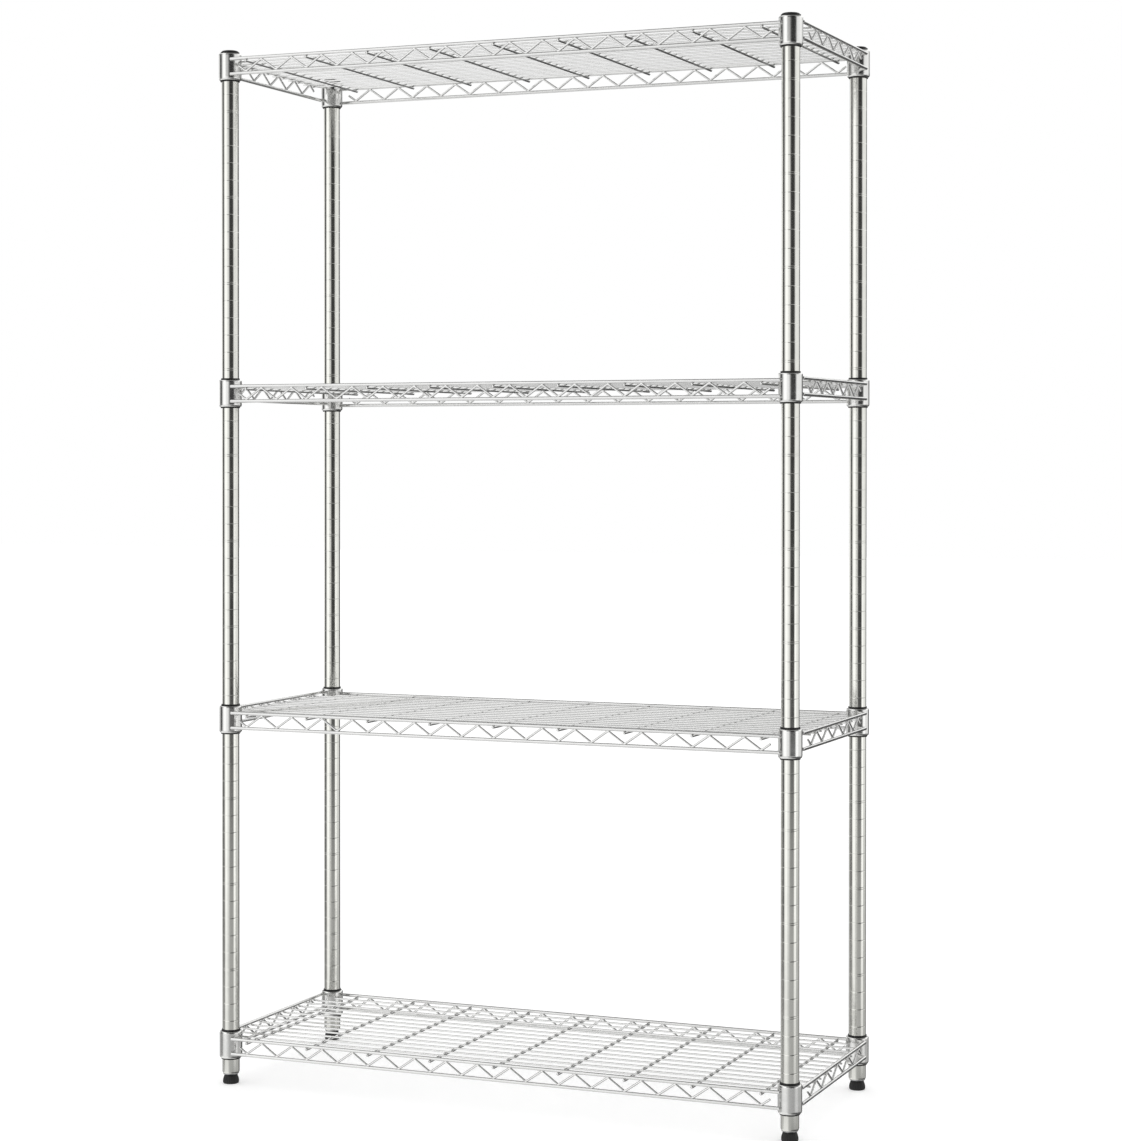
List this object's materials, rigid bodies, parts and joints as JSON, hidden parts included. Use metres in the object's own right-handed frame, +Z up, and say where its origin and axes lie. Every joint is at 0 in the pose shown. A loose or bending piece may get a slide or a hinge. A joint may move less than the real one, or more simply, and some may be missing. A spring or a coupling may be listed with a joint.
{
  "type": "wire shelving unit",
  "caption": "Open chrome wire rack: welded shelves with zigzag edges, held by tapered split sleeves on round posts with screw levelling feet.",
  "frame": {"origin": "on the floor, under the middle of the unit", "axes": "+Z up, +X to the right along the shelves, front towards -Y"},
  "size_m": [0.9082, 0.3522, 1.5298],
  "materials": {
    "post_chrome": "bright chrome plate on drawn tube",
    "wire_chrome": "bright chrome plate on welded wire",
    "collar_chrome": "bright chrome plate on formed sheet",
    "sleeve_plastic": "moulded black",
    "cap_plastic": "moulded black",
    "foot_plastic": "moulded black with a ribbed grip",
    "insert_steel": "zinc plated",
    "stud_steel": "zinc plated thread"
  },
  "bodies": {
    "frame": {"post_front_left": "post_chrome", "post_front_right": "post_chrome", "post_rear_left": "post_chrome", "post_rear_right": "post_chrome", "caps": "cap_plastic", "inserts": "insert_steel", "bottom_sleeves": "sleeve_plastic", "lower_sleeves": "sleeve_plastic", "upper_sleeves": "sleeve_plastic", "top_sleeves": "sleeve_plastic"},
    "bottom_shelf": {"bottom_shelf_collars": "collar_chrome", "bottom_shelf_long_rims": "wire_chrome", "bottom_shelf_end_rims": "wire_chrome", "bottom_shelf_long_trusses": "wire_chrome", "bottom_shelf_end_trusses": "wire_chrome", "bottom_shelf_cross_wires": "wire_chrome", "bottom_shelf_mat_wires": "wire_chrome"},
    "lower_shelf": {"lower_shelf_collars": "collar_chrome", "lower_shelf_long_rims": "wire_chrome", "lower_shelf_end_rims": "wire_chrome", "lower_shelf_long_trusses": "wire_chrome", "lower_shelf_end_trusses": "wire_chrome", "lower_shelf_cross_wires": "wire_chrome", "lower_shelf_mat_wires": "wire_chrome"},
    "upper_shelf": {"upper_shelf_collars": "collar_chrome", "upper_shelf_long_rims": "wire_chrome", "upper_shelf_end_rims": "wire_chrome", "upper_shelf_long_trusses": "wire_chrome", "upper_shelf_end_trusses": "wire_chrome", "upper_shelf_cross_wires": "wire_chrome", "upper_shelf_mat_wires": "wire_chrome"},
    "top_shelf": {"top_shelf_collars": "collar_chrome", "top_shelf_long_rims": "wire_chrome", "top_shelf_end_rims": "wire_chrome", "top_shelf_long_trusses": "wire_chrome", "top_shelf_end_trusses": "wire_chrome", "top_shelf_cross_wires": "wire_chrome", "top_shelf_mat_wires": "wire_chrome"},
    "foot_screw_front_left": {"foot_stud_front_left": "stud_steel"},
    "foot_grip_front_left": {"foot_base_front_left": "foot_plastic"},
    "foot_screw_front_right": {"foot_stud_front_right": "stud_steel"},
    "foot_grip_front_right": {"foot_base_front_right": "foot_plastic"},
    "foot_screw_rear_left": {"foot_stud_rear_left": "stud_steel"},
    "foot_grip_rear_left": {"foot_base_rear_left": "foot_plastic"},
    "foot_screw_rear_right": {"foot_stud_rear_right": "stud_steel"},
    "foot_grip_rear_right": {"foot_base_rear_right": "foot_plastic"}
  },
  "joints": [
    {"name": "bottom_shelf_lift", "type": "slide", "parent": "frame", "child": "bottom_shelf", "axis": [0, 0, 1], "range_m": [0, 0.43]},
    {"name": "lower_shelf_lift", "type": "slide", "parent": "frame", "child": "lower_shelf", "axis": [0, 0, 1], "range_m": [0, 0.43]},
    {"name": "upper_shelf_lift", "type": "slide", "parent": "frame", "child": "upper_shelf", "axis": [0, 0, 1], "range_m": [0, 0.43]},
    {"name": "top_shelf_lift", "type": "slide", "parent": "frame", "child": "top_shelf", "axis": [0, 0, 1], "range_m": [0, 0.06]},
    {"name": "foot_travel_front_left", "type": "slide", "parent": "frame", "child": "foot_screw_front_left", "axis": [0, 0, -1], "range_m": [0, 0.01]},
    {"name": "foot_turn_front_left", "type": "hinge", "parent": "foot_screw_front_left", "child": "foot_grip_front_left", "pos_m": [-0.436, -0.158, 0], "axis": [0, 0, -1], "range_deg": [0, 2880]},
    {"name": "foot_travel_front_right", "type": "slide", "parent": "frame", "child": "foot_screw_front_right", "axis": [0, 0, -1], "range_m": [0, 0.01]},
    {"name": "foot_turn_front_right", "type": "hinge", "parent": "foot_screw_front_right", "child": "foot_grip_front_right", "pos_m": [0.436, -0.158, 0], "axis": [0, 0, -1], "range_deg": [0, 2880]},
    {"name": "foot_travel_rear_left", "type": "slide", "parent": "frame", "child": "foot_screw_rear_left", "axis": [0, 0, -1], "range_m": [0, 0.01]},
    {"name": "foot_turn_rear_left", "type": "hinge", "parent": "foot_screw_rear_left", "child": "foot_grip_rear_left", "pos_m": [-0.436, 0.158, 0], "axis": [0, 0, -1], "range_deg": [0, 2880]},
    {"name": "foot_travel_rear_right", "type": "slide", "parent": "frame", "child": "foot_screw_rear_right", "axis": [0, 0, -1], "range_m": [0, 0.01]},
    {"name": "foot_turn_rear_right", "type": "hinge", "parent": "foot_screw_rear_right", "child": "foot_grip_rear_right", "pos_m": [0.436, 0.158, 0], "axis": [0, 0, -1], "range_deg": [0, 2880]}
  ],
  "couplings": [
    {"joint": "foot_travel_front_left", "follows": "foot_turn_front_left", "m_per_rad": 0.00019894},
    {"joint": "foot_travel_front_right", "follows": "foot_turn_front_right", "m_per_rad": 0.00019894},
    {"joint": "foot_travel_rear_left", "follows": "foot_turn_rear_left", "m_per_rad": 0.00019894},
    {"joint": "foot_travel_rear_right", "follows": "foot_turn_rear_right", "m_per_rad": 0.00019894}
  ]
}
